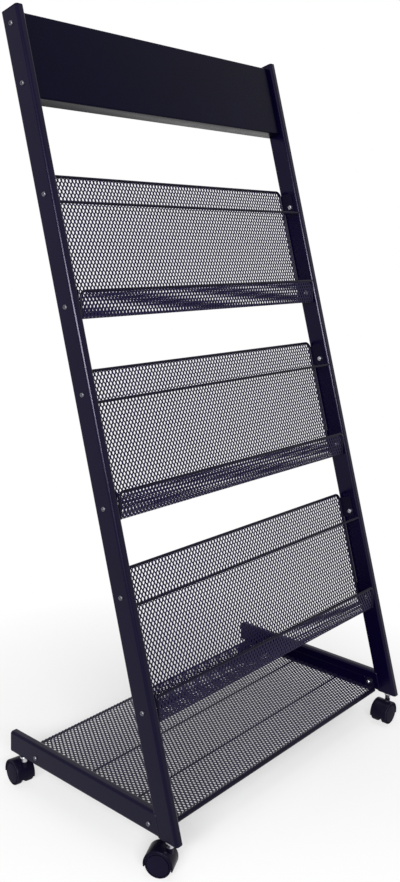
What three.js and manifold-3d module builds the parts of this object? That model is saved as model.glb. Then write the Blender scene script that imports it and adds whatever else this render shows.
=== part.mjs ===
// Mobile periodical display rack: two leaning flat-oval uprights on caster feet, a folded header
// panel, three expanded-metal tiers with retaining rods, and an expanded-metal bottom shelf.
// Millimetres, +Z up, front towards -Y, origin on the floor under the middle of the rack.
// Left and right are those of a reader who stands in front of the rack.

import * as THREE from 'three';
import { mergeVertices } from 'three/addons/utils/BufferGeometryUtils.js';
import Module from 'manifold-3d';

const wasm = await Module();
wasm.setup();

// Overall sizes
const OVERALL_WIDTH = 650; // across the outer faces of the uprights
const LEAN_DEG = 16.6; // uprights, rearwards from plumb
const FOOT_LENGTH = 372; // front tip of the upright to the rear end of the foot's cap

// Flat-oval tube of the uprights and feet
const TUBE_WIDTH = 15;
const TUBE_DEPTH = 37;
const TUBE_CORNER = 4.5;
const TUBE_WALL = 1.5;
const BOTTOM_PLATE = 3; // plate that closes an upright and takes the caster stem

// Plastic caps in the open tube ends
const CAP_FLANGE = 2;
const CAP_PLUG = 12;

// Header panel, a sheet folded back on all four sides
const HEADER_DROP = 8; // top of the upright to the top of the panel
const HEADER_HEIGHT = 131;
const HEADER_RECESS = 9; // front of the upright to the front of the panel
const HEADER_RETURN = 26;
const HEADER_BEND = 2.5;
const SHEET = 1.2;

// Tiers, measured along the lean
const TIER_COUNT = 3;
const TIER_PITCH = 300;
const LOWEST_TIER = 401; // front tip of the upright to the top edge of the lowest back
const HEADER_GAP = 107; // top edge of the highest back to the header panel
const BACK_HEIGHT = 219; // top edge of a back to its fold into the tray
const BACK_RECESS = 1.8; // rear of the upright to the rear of the back
const BACK_CORNER = 11;
const TRAY_DEPTH = 26;
const LIP_HEIGHT = 43;
const LIP_LEAN_DEG = 4.5;
const LIP_CORNER = 9;
const BORDER_WIRE = 4.5; // diameter
const PLATE = 1.5; // ears, tray ends, shelf tabs and strips

// Ears that carry a back on the uprights
const EAR_DROP = 10; // top edge of the back to the top of the ear
const EAR_HEIGHT = 37;
const EAR_FRONT = 11; // front of the upright to the front of the ear

// Retaining rod in front of a tier
const ROD_DIAMETER = 4.5;
const ROD_DROP = 51.5; // top edge of the back to the rod
const ROD_INSET = 3.6; // front of the upright to the axis of the rod
const ROD_ENGAGEMENT = 5; // length of rod past the inner face of the upright

// Expanded metal, with larger diamonds than the real sheet
const MESH_THICKNESS = 1.2;
const MESH_ACROSS = 52; // pitch along X
const MESH_ALONG = 72; // pitch along the other way of the panel
const MESH_OPEN = 0.74; // share of each pitch that a diamond takes
const MESH_BORDER = 6;

// Bottom shelf, heights from the underside of the feet
const SHELF_LEVEL = 1.4; // underside of the mesh
const SHELF_FRONT = 45.5; // axis of the front bar, from the front tip of the upright
const SHELF_SETBACK = 15; // rear end of the foot to the axis of the rear rod
const SHELF_REAR_EDGE = 2.5; // mesh past the axis of the rear rod
const FRONT_BAR_DIAMETER = 8;
const REAR_ROD_DIAMETER = 4.5;
const SHELF_ROD_DIAMETER = 3.5;
const SHELF_RODS = [82.5, 184.5]; // axes of the two rods, from the axis of the front bar
const BOLT_LEVEL = 14; // bolts that hold the shelf to the feet
const TAB_REACH = 10.5; // axis of the front bar to the bolt of its tab
const TAB_RADIUS = 8;
const STRIP_RISE = 7; // bolts to the top edge of the shelf's side strips
const STRIP_DROP = 4; // underside of the feet to the lower edge of the side strips

// Twin-wheel casters
const REAR_STEM_SETBACK = 27; // rear end of the foot to the axis of the rear stem
const CASTER_TRAIL = 14;
const WHEEL_RADIUS = 20;
const WHEEL_WIDTH = 10.8;
const WHEEL_BEVEL = 2;
const WHEEL_DISH = 0.8;
const HUB_RADIUS = 6;
const HOOD_WALL = 1.8;
const AXLE_RADIUS = 2.5;
const AXLE_RECESS = 2; // outer face of the wheel to the end of the axle
const AXLE_COVER = 4; // material of the hood below the axle
const STEM_RADIUS = 4;
const STEM_INSIDE = 22; // length of stem above the underside of the foot
const STEM_EXPOSED = 10; // underside of the foot to the top of the hood's socket
const SOCKET_RISE = 0.2; // top of the hood's cover to the top of its socket
const COLLAR_RADIUS = 7;
const COLLAR_HEIGHT = 3;
const NECK_RADIUS = 5;
const PIVOT_RADIUS = 3;
const PIVOT_LENGTH = 12;
const SOCKET_WALL = 1.3;
const SOCKET_PROUD = 0.3; // socket past each side of the web
const TRAIL_DEG = { front_left: 115, front_right: 180, rear_left: 80, rear_right: 65 }; // from +X

// Clearances
const SEAT = 0.3; // between pieces that touch on the real rack
const RUNNING = 0.4; // round a pivot or an axle
const WHEEL_GAP = 0.5; // wheel to the socket of its hood
const HOOD_GAP = 1.1; // wheel tread to the inside of its hood

// Finishes
const POWDER_BLACK = { color: 0x1a1924, roughness: 0.42, metalness: 0.25 };
const PLASTIC_BLACK = { color: 0x141418, roughness: 0.5, metalness: 0 };
const ZINC = { color: 0xc4c6c8, roughness: 0.28, metalness: 0.9 };

// Values that follow from the sizes above
const LEAN = THREE.MathUtils.degToRad(LEAN_DEG);
const LIP_LEAN = THREE.MathUtils.degToRad(LIP_LEAN_DEG);
const HIGHEST_TIER = LOWEST_TIER + (TIER_COUNT - 1) * TIER_PITCH;
const UPRIGHT_LENGTH = HIGHEST_TIER + HEADER_GAP + HEADER_HEIGHT + HEADER_DROP;
const TUBE_BEND = Math.min(TUBE_CORNER, TUBE_WIDTH / 2 - SEAT);
const INNER_FACE = OVERALL_WIDTH / 2 - TUBE_WIDTH;
const TUBE_AXIS = OVERALL_WIDTH / 2 - TUBE_WIDTH / 2;
const DEPTH = TUBE_DEPTH * Math.cos(LEAN) + UPRIGHT_LENGTH * Math.sin(LEAN);
const BACK_INSET = TUBE_DEPTH - BACK_RECESS - MESH_THICKNESS; // to the front of the back
const SHELF_REAR = FOOT_LENGTH - SHELF_SETBACK;
const FRONT_STEM = TUBE_DEPTH / 2 / Math.cos(LEAN); // middle of the upright's level lower end
const REAR_STEM = FOOT_LENGTH - REAR_STEM_SETBACK;
const HOOD_INNER_RADIUS = WHEEL_RADIUS + HOOD_GAP;
const HOOD_RADIUS = HOOD_INNER_RADIUS + HOOD_WALL;
const SOCKET_TOP = WHEEL_RADIUS + HOOD_RADIUS + SOCKET_RISE;
const SOCKET_RADIUS = PIVOT_RADIUS + RUNNING + SOCKET_WALL;
const CASTER_HEIGHT = SOCKET_TOP + STEM_EXPOSED; // floor to the underside of the feet
const CASTER_WIDTH = 2 * (SOCKET_RADIUS + WHEEL_GAP + WHEEL_WIDTH);
const WIRE_RADIUS = BORDER_WIRE / 2;
const PLATE_FACE = INNER_FACE - SEAT - PLATE; // inner face of a plate that lies on the tubes
const WIRE_HALF = PLATE_FACE - SEAT - WIRE_RADIUS; // middle of the rack to a border wire's side
const WIRE_EDGE = WIRE_RADIUS + SEAT; // axis of a border wire to the edge of its mesh
const SIDES = [['left', -1], ['right', 1]];
const ENDS = [['front', FRONT_STEM], ['rear', REAR_STEM]];

// Directions in which the three axes of a drawn shape come to lie
const X = new THREE.Vector3(1, 0, 0);
const Y = new THREE.Vector3(0, 1, 0);
const Z = new THREE.Vector3(0, 0, 1);
const ALONG_X = new THREE.Matrix4().makeBasis(Y, Z, X); // shape (y, z), extruded along X
const ALONG_Y = new THREE.Matrix4().makeBasis(Z, X, Y); // shape (z, x), extruded along Y
const UPRIGHT_PANEL = new THREE.Matrix4().makeBasis(X, Z, Y.clone().negate()); // shape (x, z)

// Fineness of round forms: an arc is drawn in twice as many steps as its value says
const CORNER_STEPS = 2;
const WIRE_STEPS = 4;
const TAB_STEPS = 4;
const ROUND_STEPS = 5;
const HOOD_STEPS = 6;
const WHEEL_SIDES = 20;
const STEM_SIDES = 12;
const SAME_POINT = 1e-4; // points closer than this are one

function toSolid(geometry) {
  const plain = geometry.clone();
  plain.deleteAttribute('normal');
  plain.deleteAttribute('uv');
  const merged = mergeVertices(plain, SAME_POINT);
  const vertProperties = new Float32Array(merged.attributes.position.array);
  const triVerts = new Uint32Array(merged.index.array);
  return new wasm.Manifold(new wasm.Mesh({ numProp: 3, vertProperties, triVerts }));
}

function toGeometry(solid) {
  const { vertProperties, triVerts } = solid.getMesh();
  const geometry = new THREE.BufferGeometry();
  geometry.setAttribute('position', new THREE.BufferAttribute(vertProperties, 3));
  geometry.setIndex(new THREE.BufferAttribute(triVerts, 1));
  return geometry;
}

function join(...geometries) {
  return toGeometry(geometries.map(toSolid).reduce((whole, piece) => whole.add(piece)));
}

function cut(geometry, ...tools) {
  return toGeometry(tools.map(toSolid).reduce((rest, tool) => rest.subtract(tool), toSolid(geometry)));
}

function addPart(parent, name, geometry, finish) {
  const mesh = new THREE.Mesh(geometry, new THREE.MeshStandardMaterial(finish));
  mesh.name = name;
  parent.add(mesh);
}

function addGroup(parent, x, y, z) {
  const group = new THREE.Group();
  group.position.set(x, y, z);
  parent.add(group);
  return group;
}

function extrude(shape, from, to, directions, curveSegments = CORNER_STEPS) {
  const settings = { depth: to - from, bevelEnabled: false, curveSegments };
  const geometry = new THREE.ExtrudeGeometry(shape, settings).translate(0, 0, from);
  return directions ? geometry.applyMatrix4(directions) : geometry;
}

function circle(radius, x = 0, y = 0) {
  return new THREE.Shape().absarc(x, y, radius, 0, 2 * Math.PI);
}

function polygon(...points) {
  return new THREE.Shape(points.map(([x, y]) => new THREE.Vector2(x, y)));
}

function rectangle(left, bottom, right, top) {
  return polygon([left, bottom], [right, bottom], [right, top], [left, top]);
}

// Rectangle with round corners, given by its corner points
function roundedRectangle(left, bottom, right, top, radius) {
  const shape = new THREE.Shape();
  shape.absarc(right - radius, top - radius, radius, 0, Math.PI / 2);
  shape.absarc(left + radius, top - radius, radius, Math.PI / 2, Math.PI);
  shape.absarc(left + radius, bottom + radius, radius, Math.PI, 1.5 * Math.PI);
  shape.absarc(right - radius, bottom + radius, radius, 1.5 * Math.PI, 2 * Math.PI);
  return shape;
}

// Rectangle whose two upper corners are round
function archedRectangle(halfWidth, bottom, top, radius) {
  const shape = new THREE.Shape();
  shape.moveTo(-halfWidth, bottom);
  shape.lineTo(halfWidth, bottom);
  shape.absarc(halfWidth - radius, top - radius, radius, 0, Math.PI / 2);
  shape.absarc(radius - halfWidth, top - radius, radius, Math.PI / 2, Math.PI);
  return shape;
}

// Outline that wraps two round ends of different radius
function taperedTab(start, startRadius, end, endRadius) {
  const heading = Math.atan2(end.z - start.z, end.y - start.y);
  const length = Math.hypot(end.y - start.y, end.z - start.z);
  const wrap = Math.acos((startRadius - endRadius) / length);
  const shape = new THREE.Shape();
  shape.absarc(end.y, end.z, endRadius, heading - wrap, heading + wrap);
  shape.absarc(start.y, start.z, startRadius, heading + wrap, heading - wrap + 2 * Math.PI);
  return shape;
}

// Section of the tube, grown by an offset, with its depth from 0 rearwards
function tubeSection(offset) {
  const half = TUBE_WIDTH / 2 + offset;
  return roundedRectangle(-half, -offset, half, TUBE_DEPTH + offset, TUBE_BEND + offset);
}

// The same section turned on its side for the feet, as (z, x)
function footSection(offset) {
  const half = TUBE_WIDTH / 2 + offset;
  return roundedRectangle(-offset, -half, TUBE_DEPTH + offset, half, TUBE_BEND + offset);
}

// Slants the lower end of an upright so that it is level when the upright leans
function levelLowerEnd(geometry, lowerEnd) {
  const position = geometry.attributes.position;
  for (let i = 0; i < position.count; i += 1) {
    if (Math.abs(position.getZ(i) - lowerEnd) < SEAT) {
      position.setZ(i, lowerEnd + position.getY(i) * Math.tan(LEAN));
    }
  }
  return geometry;
}

function uprightBar(offset, lowerEnd, upperEnd) {
  return levelLowerEnd(extrude(tubeSection(offset), lowerEnd, upperEnd), lowerEnd);
}

// Distance along the lean of the top edge of a tier's back
function tierTop(tier) {
  return HIGHEST_TIER - tier * TIER_PITCH;
}

// Extrusion along X on one side of the rack, between two distances from the middle
function extrudeOnSide(shape, side, first, second, curveSegments) {
  const ends = [side * first, side * second].sort((a, b) => a - b);
  return extrude(shape, ...ends, ALONG_X, curveSegments);
}

// Hole in the inner side of an upright, measured from the tube's own axis
function retainingRodHole(tier, side) {
  const hole = circle(ROD_DIAMETER / 2 + SEAT, ROD_INSET, tierTop(tier) - ROD_DROP);
  const depth = TUBE_WIDTH / 2 - ROD_ENGAGEMENT - SEAT;
  return extrudeOnSide(hole, -side, depth, TUBE_WIDTH, ROUND_STEPS);
}

function frontStemHole() {
  const hole = extrude(circle(STEM_RADIUS + SEAT), -TUBE_DEPTH, TUBE_DEPTH, null, ROUND_STEPS);
  return hole.translate(0, FRONT_STEM, 0).rotateX(LEAN);
}

function buildUpright(leaning, name, side) {
  const place = addGroup(leaning, side * TUBE_AXIS, 0, 0);
  const tubeEnd = UPRIGHT_LENGTH - CAP_FLANGE;
  const outside = uprightBar(0, 0, tubeEnd);
  const inside = uprightBar(-TUBE_WALL, BOTTOM_PLATE / Math.cos(LEAN), tubeEnd + TUBE_DEPTH);
  const holes = [...Array(TIER_COUNT).keys()].map((tier) => retainingRodHole(tier, side));
  addPart(place, `upright_${name}`, cut(outside, inside, frontStemHole(), ...holes), POWDER_BLACK);
  const flange = extrude(tubeSection(0), tubeEnd + SEAT, UPRIGHT_LENGTH);
  const plug = extrude(tubeSection(-TUBE_WALL - SEAT), tubeEnd - CAP_PLUG, UPRIGHT_LENGTH - CAP_FLANGE / 2);
  addPart(place, `upright_cap_${name}`, join(flange, plug), PLASTIC_BLACK);
}

// Foot tube, cut to the round rear side of the upright
function buildFoot(level, name, side) {
  const place = addGroup(level, side * TUBE_AXIS, 0, 0);
  const tubeEnd = FOOT_LENGTH - CAP_FLANGE;
  const insideUpright = TUBE_DEPTH / 2 / Math.cos(LEAN) + TUBE_DEPTH / 2 * Math.tan(LEAN);
  const outside = extrude(footSection(0), insideUpright, tubeEnd, ALONG_Y);
  const inside = extrude(footSection(-TUBE_WALL), 0, FOOT_LENGTH, ALONG_Y);
  const upright = uprightBar(SEAT, -TUBE_DEPTH, UPRIGHT_LENGTH).rotateX(-LEAN);
  const stemHole = extrude(circle(STEM_RADIUS + SEAT), -TUBE_DEPTH, TUBE_DEPTH / 2, null, ROUND_STEPS);
  stemHole.translate(0, REAR_STEM, 0);
  addPart(place, `foot_${name}`, cut(outside, inside, upright, stemHole), POWDER_BLACK);
  const flange = extrude(footSection(0), tubeEnd + SEAT, FOOT_LENGTH, ALONG_Y);
  const plug = extrude(
    footSection(-TUBE_WALL - SEAT), tubeEnd - CAP_PLUG, FOOT_LENGTH - CAP_FLANGE / 2, ALONG_Y,
  );
  addPart(place, `foot_cap_${name}`, join(flange, plug), PLASTIC_BLACK);
}

function buildHeader(leaning) {
  const half = INNER_FACE - SEAT;
  const top = UPRIGHT_LENGTH - HEADER_DROP;
  const bottom = top - HEADER_HEIGHT;
  const rear = HEADER_RECESS + HEADER_RETURN;
  const outline = roundedRectangle(HEADER_RECESS, bottom, rear + HEADER_BEND, top, HEADER_BEND);
  const hollow = roundedRectangle(
    HEADER_RECESS + SHEET, bottom + SHEET, rear + 2 * HEADER_RETURN, top - SHEET, HEADER_BEND - SHEET,
  );
  const openRear = rectangle(rear, bottom - SHEET, rear + HEADER_RETURN, top + SHEET);
  const panel = cut(
    extrude(outline, -half, half, ALONG_X),
    extrude(hollow, SHEET - half, half - SHEET, ALONG_X),
    extrude(openRear, -OVERALL_WIDTH, OVERALL_WIDTH, ALONG_X),
  );
  addPart(leaning, 'header_panel', panel, POWDER_BLACK);
}

// Staggered diamonds in a panel's field, or one low row of them in a field too low for more
function punchDiamonds(shape, halfWidth, bottom, top) {
  const fieldHeight = top - bottom - 2 * MESH_BORDER;
  const along = Math.min(MESH_ALONG, fieldHeight / MESH_OPEN);
  const halfAcross = MESH_ACROSS * MESH_OPEN / 2;
  const halfAlong = along * MESH_OPEN / 2;
  const columns = Math.floor(2 * (halfWidth - MESH_BORDER - halfAcross) / MESH_ACROSS) + 1;
  const rows = Math.floor((fieldHeight - 2 * halfAlong + SEAT) / (along / 2)) + 1;
  for (let row = 0; row < rows; row += 1) {
    const count = columns - row % 2;
    const y = (bottom + top) / 2 + (row - (rows - 1) / 2) * along / 2;
    for (let column = 0; column < count; column += 1) {
      const x = (column - (count - 1) / 2) * MESH_ACROSS;
      shape.holes.push(diamond(x, y, halfAcross, halfAlong));
    }
  }
  return shape;
}

function diamond(x, y, halfAcross, halfAlong) {
  return polygon([x, y - halfAlong], [x + halfAcross, y], [x, y + halfAlong], [x - halfAcross, y]);
}

// Wire along straight runs and round bends, with a ring of its skin at each given point
class BentWire extends THREE.Curve {
  constructor(points) {
    super();
    this.points = points;
  }

  getPointAt(share) {
    return this.points[Math.round(share * (this.points.length - 1))].clone();
  }

  getTangentAt(share) {
    const index = Math.round(share * (this.points.length - 1));
    const before = this.points[Math.max(index - 1, 0)];
    const after = this.points[Math.min(index + 1, this.points.length - 1)];
    return after.clone().sub(before).normalize();
  }
}

// Wire that runs up, across the top and down again, in the plane of X and Z
function hoopWire(halfWidth, bottom, top, radius) {
  const points = [new THREE.Vector3(-halfWidth, 0, bottom)];
  const bend = 2 * CORNER_STEPS;
  for (const turn of [1, 0]) {
    const centre = (turn ? -1 : 1) * (halfWidth - radius);
    for (let step = 0; step <= bend; step += 1) {
      const angle = (turn + 1 - step / bend) * Math.PI / 2;
      points.push(new THREE.Vector3(
        centre + radius * Math.cos(angle), 0, top - radius + radius * Math.sin(angle),
      ));
    }
  }
  points.push(new THREE.Vector3(halfWidth, 0, bottom));
  return new THREE.ExtrudeGeometry(circle(WIRE_RADIUS), {
    steps: points.length - 1,
    extrudePath: new BentWire(points),
    curveSegments: WIRE_STEPS,
  });
}

// Angle with one leg on the upright and one that reaches inwards to the border wire
function backEar(side, top, wirePlane) {
  const outer = side * (INNER_FACE - SEAT);
  const inner = side * PLATE_FACE;
  const end = side * WIRE_HALF;
  const rear = wirePlane + PLATE / 2;
  const bend = rear - PLATE;
  const section = polygon(
    [outer, EAR_FRONT], [outer, rear], [end, rear], [end, bend], [inner, bend], [inner, EAR_FRONT],
  );
  return extrude(section, top - EAR_HEIGHT, top);
}

function buildBack(leaning, tier) {
  const name = `tier_${tier + 1}`;
  const top = tierTop(tier);
  const bottom = top - BACK_HEIGHT - MESH_THICKNESS;
  const wirePlane = BACK_INSET + MESH_THICKNESS / 2;
  const half = WIRE_HALF - WIRE_EDGE;
  const meshTop = top - WIRE_RADIUS - WIRE_EDGE;
  const sheet = archedRectangle(half, bottom, meshTop, BACK_CORNER - WIRE_EDGE);
  punchDiamonds(sheet, half, bottom, meshTop);
  const mesh = extrude(sheet, -BACK_INSET - MESH_THICKNESS, -BACK_INSET, UPRIGHT_PANEL);
  addPart(leaning, `${name}_back_mesh`, mesh, POWDER_BLACK);
  const wire = hoopWire(WIRE_HALF, top - BACK_HEIGHT + SEAT, top - WIRE_RADIUS, BACK_CORNER);
  const ears = SIDES.map(([, side]) => backEar(side, top - EAR_DROP, wirePlane));
  addPart(leaning, `${name}_back_frame`, join(wire.translate(0, wirePlane, 0), ...ears), POWDER_BLACK);
}

function buildRetainingRod(leaning, tier) {
  const half = INNER_FACE + ROD_ENGAGEMENT;
  const section = circle(ROD_DIAMETER / 2, ROD_INSET, tierTop(tier) - ROD_DROP);
  const rod = extrude(section, -half, half, ALONG_X, ROUND_STEPS);
  addPart(leaning, `tier_${tier + 1}_retaining_rod`, rod, POWDER_BLACK);
}

// Place of a tray's rear fold, on the level
function foldPlace(tier) {
  const along = tierTop(tier) - BACK_HEIGHT;
  return {
    y: BACK_INSET * Math.cos(LEAN) + along * Math.sin(LEAN),
    z: along * Math.cos(LEAN) - BACK_INSET * Math.sin(LEAN),
  };
}

function buildTrayFloor(tray, name) {
  const half = PLATE_FACE - SEAT;
  const rear = -SEAT - MESH_THICKNESS * Math.tan(LEAN);
  const front = SEAT - TRAY_DEPTH;
  const sheet = punchDiamonds(rectangle(-half, front, half, rear), half, front, rear);
  addPart(tray, `${name}_floor_mesh`, extrude(sheet, -MESH_THICKNESS, 0), POWDER_BLACK);
}

function buildLip(tray, name) {
  const lip = addGroup(tray, 0, -TRAY_DEPTH, 0);
  lip.rotation.x = -LIP_LEAN;
  const half = WIRE_HALF - WIRE_EDGE;
  const top = LIP_HEIGHT - WIRE_RADIUS - WIRE_EDGE;
  const sheet = archedRectangle(half, -MESH_THICKNESS, top, LIP_CORNER - WIRE_EDGE);
  punchDiamonds(sheet, half, -MESH_THICKNESS, top);
  addPart(lip, `${name}_lip_mesh`, extrude(sheet, 0, MESH_THICKNESS, UPRIGHT_PANEL), POWDER_BLACK);
  const wire = hoopWire(WIRE_HALF, SEAT, LIP_HEIGHT - WIRE_RADIUS, LIP_CORNER);
  wire.translate(0, -MESH_THICKNESS / 2, 0);
  addPart(lip, `${name}_lip_wire`, wire, POWDER_BLACK);
}

// Plate that closes one end of a tray, with the tray's own side outline
function buildEndPlate(tray, name, sideName, side) {
  const outline = polygon(
    [-TRAY_DEPTH, -MESH_THICKNESS],
    [0, -MESH_THICKNESS],
    [LIP_HEIGHT * Math.tan(LEAN), LIP_HEIGHT],
    [LIP_HEIGHT * Math.tan(LIP_LEAN) - TRAY_DEPTH, LIP_HEIGHT],
  );
  const plate = extrudeOnSide(outline, side, INNER_FACE - SEAT, PLATE_FACE);
  addPart(tray, `${name}_end_plate_${sideName}`, plate, POWDER_BLACK);
}

function buildTier(leaning, level, tier) {
  const name = `tier_${tier + 1}`;
  const { y, z } = foldPlace(tier);
  const tray = addGroup(level, 0, y, z);
  buildBack(leaning, tier);
  buildRetainingRod(leaning, tier);
  buildTrayFloor(tray, name);
  buildLip(tray, name);
  SIDES.forEach(([sideName, side]) => buildEndPlate(tray, name, sideName, side));
}

// Rod under the shelf's mesh, welded to the side strips at its ends
function shelfRod(diameter, y) {
  const half = PLATE_FACE - SEAT;
  const section = circle(diameter / 2, y, SHELF_LEVEL - SEAT - diameter / 2);
  return extrude(section, -half, half, ALONG_X, ROUND_STEPS);
}

function buildShelfMesh(level) {
  const half = PLATE_FACE - SEAT;
  const barRadius = FRONT_BAR_DIAMETER / 2;
  const front = SHELF_FRONT + Math.sqrt(barRadius ** 2 - SHELF_LEVEL ** 2) + SEAT;
  const rear = SHELF_REAR + SHELF_REAR_EDGE;
  const sheet = punchDiamonds(rectangle(-half, front, half, rear), half, front, rear);
  const mesh = extrude(sheet, SHELF_LEVEL, SHELF_LEVEL + MESH_THICKNESS);
  addPart(level, 'shelf_mesh', mesh, POWDER_BLACK);
}

// Front bar with a tab at each end that is bolted to the foot
function buildShelfFrontBar(level) {
  const half = INNER_FACE - SEAT;
  const radius = FRONT_BAR_DIAMETER / 2;
  const bar = { y: SHELF_FRONT, z: 0 };
  const bolt = { y: SHELF_FRONT + TAB_REACH, z: BOLT_LEVEL };
  const tab = taperedTab(bar, radius, bolt, TAB_RADIUS);
  const pieces = [extrude(circle(radius, bar.y, bar.z), -half, half, ALONG_X, ROUND_STEPS)];
  for (const [, side] of SIDES) {
    pieces.push(extrudeOnSide(tab, side, half, PLATE_FACE, TAB_STEPS));
  }
  addPart(level, 'shelf_front_bar', join(...pieces), POWDER_BLACK);
}

// Flat strip on the inner side of a foot, from the tab of the front bar to the rear rod
function buildShelfStrip(level, sideName, side) {
  const front = SHELF_FRONT + TAB_REACH + TAB_RADIUS + SEAT;
  const rear = SHELF_REAR + REAR_ROD_DIAMETER / 2;
  const outline = rectangle(front, -STRIP_DROP, rear, BOLT_LEVEL + STRIP_RISE);
  const strip = extrudeOnSide(outline, side, INNER_FACE - SEAT, PLATE_FACE);
  addPart(level, `shelf_strip_${sideName}`, strip, POWDER_BLACK);
}

function buildShelf(level) {
  buildShelfMesh(level);
  buildShelfFrontBar(level);
  SHELF_RODS.forEach((reach, index) => {
    const rod = shelfRod(SHELF_ROD_DIAMETER, SHELF_FRONT + reach);
    addPart(level, `shelf_rod_${index + 1}`, rod, POWDER_BLACK);
  });
  addPart(level, 'shelf_rear_rod', shelfRod(REAR_ROD_DIAMETER, SHELF_REAR), POWDER_BLACK);
  SIDES.forEach(([sideName, side]) => buildShelfStrip(level, sideName, side));
}

// Revolved solid from a half profile of (radius, height) points
function revolve(profile, sides) {
  const points = profile.map(([radius, height]) => new THREE.Vector2(radius, height));
  return new THREE.LatheGeometry(points, sides, Math.PI / sides);
}

// Threaded stem in the foot, with its collar under the foot and the pivot that the hood turns on
function casterStem() {
  const seat = CASTER_HEIGHT - SEAT;
  const collar = seat - COLLAR_HEIGHT;
  const neck = SOCKET_TOP + RUNNING;
  const end = SOCKET_TOP - PIVOT_LENGTH;
  const top = CASTER_HEIGHT + STEM_INSIDE;
  return revolve([
    [0, end], [PIVOT_RADIUS, end], [PIVOT_RADIUS, neck], [NECK_RADIUS, neck], [NECK_RADIUS, collar],
    [COLLAR_RADIUS, collar], [COLLAR_RADIUS, seat], [STEM_RADIUS, seat], [STEM_RADIUS, top], [0, top],
  ], STEM_SIDES).rotateX(Math.PI / 2);
}

// Half-round cover over both wheels
function hoodCover(outerRadius, innerRadius) {
  const section = new THREE.Shape();
  section.absarc(0, 0, outerRadius, 0, Math.PI);
  section.absarc(0, 0, innerRadius, Math.PI, 0, true);
  return extrude(section, -CASTER_WIDTH / 2, CASTER_WIDTH / 2, null, HOOD_STEPS);
}

// Web between the wheels that carries the axle
function hoodWeb(radius, halfWidth) {
  const bottom = AXLE_RADIUS + AXLE_COVER;
  const section = new THREE.Shape();
  section.absarc(0, 0, radius, 0, Math.PI);
  section.lineTo(-bottom, -bottom);
  section.lineTo(bottom, -bottom);
  return extrude(section, -halfWidth, halfWidth, null, HOOD_STEPS);
}

// The caster's local frame: trail along +X, axle along Y, floor at height 0
function casterHood() {
  const bore = extrude(circle(AXLE_RADIUS + SEAT), -CASTER_WIDTH, CASTER_WIDTH, null, ROUND_STEPS);
  const cover = hoodCover(HOOD_RADIUS, HOOD_INNER_RADIUS);
  const web = hoodWeb(HOOD_INNER_RADIUS + HOOD_WALL / 2, SOCKET_RADIUS - SOCKET_PROUD);
  for (const piece of [bore, cover, web]) {
    piece.rotateX(Math.PI / 2).translate(CASTER_TRAIL, 0, WHEEL_RADIUS);
  }
  const socket = extrude(circle(SOCKET_RADIUS), WHEEL_RADIUS, SOCKET_TOP, null, ROUND_STEPS);
  const pivotEnd = SOCKET_TOP - PIVOT_LENGTH - RUNNING;
  const pivotBore = extrude(circle(PIVOT_RADIUS + RUNNING), pivotEnd, CASTER_HEIGHT, null, ROUND_STEPS);
  return cut(join(cover, web, socket), bore, pivotBore);
}

function casterAxle() {
  const half = CASTER_WIDTH / 2 - AXLE_RECESS;
  const axle = extrude(circle(AXLE_RADIUS), -half, half, null, ROUND_STEPS);
  return axle.rotateX(Math.PI / 2).translate(CASTER_TRAIL, 0, WHEEL_RADIUS);
}

// Wheel with a bevelled rim and a dished outer face, on flats that touch the given radius
function casterWheel(side) {
  const grow = 1 / Math.cos(Math.PI / WHEEL_SIDES);
  const bore = AXLE_RADIUS + RUNNING;
  const face = WHEEL_WIDTH - WHEEL_DISH;
  const profile = [
    [bore, 0], [WHEEL_RADIUS - WHEEL_BEVEL / 2, 0], [WHEEL_RADIUS, WHEEL_BEVEL / 2],
    [WHEEL_RADIUS, WHEEL_WIDTH - WHEEL_BEVEL], [WHEEL_RADIUS - WHEEL_BEVEL, WHEEL_WIDTH],
    [HUB_RADIUS, face], [bore, face], [bore, 0],
  ].map(([radius, height]) => [radius * grow, height]);
  const wheel = revolve(profile, WHEEL_SIDES);
  if (side < 0) {
    wheel.rotateZ(Math.PI);
  }
  return wheel.translate(CASTER_TRAIL, side * (CASTER_WIDTH / 2 - WHEEL_WIDTH), WHEEL_RADIUS);
}

function buildCaster(level, name, side, y) {
  const caster = addGroup(level, side * TUBE_AXIS, y, -CASTER_HEIGHT);
  caster.rotation.z = THREE.MathUtils.degToRad(TRAIL_DEG[name]);
  addPart(caster, `caster_${name}_stem`, casterStem(), ZINC);
  addPart(caster, `caster_${name}_hood`, casterHood(), PLASTIC_BLACK);
  addPart(caster, `caster_${name}_axle`, casterAxle(), ZINC);
  addPart(caster, `caster_${name}_wheel_left`, casterWheel(1), PLASTIC_BLACK);
  addPart(caster, `caster_${name}_wheel_right`, casterWheel(-1), PLASTIC_BLACK);
}

function buildRack() {
  const rack = new THREE.Group();
  const level = addGroup(rack, 0, -DEPTH / 2, CASTER_HEIGHT);
  const leaning = addGroup(level, 0, 0, 0);
  leaning.rotation.x = -LEAN;
  for (const [name, side] of SIDES) {
    buildUpright(leaning, name, side);
    buildFoot(level, name, side);
  }
  buildHeader(leaning);
  for (let tier = 0; tier < TIER_COUNT; tier += 1) {
    buildTier(leaning, level, tier);
  }
  buildShelf(level);
  for (const [end, y] of ENDS) {
    SIDES.forEach(([sideName, side]) => buildCaster(level, `${end}_${sideName}`, side, y));
  }
  return rack;
}

export default buildRack();
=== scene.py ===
"""Looks of the periodical display rack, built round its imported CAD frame."""

import math

import bmesh
import bpy
import numpy as np
from mathutils import Matrix, Vector


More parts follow.
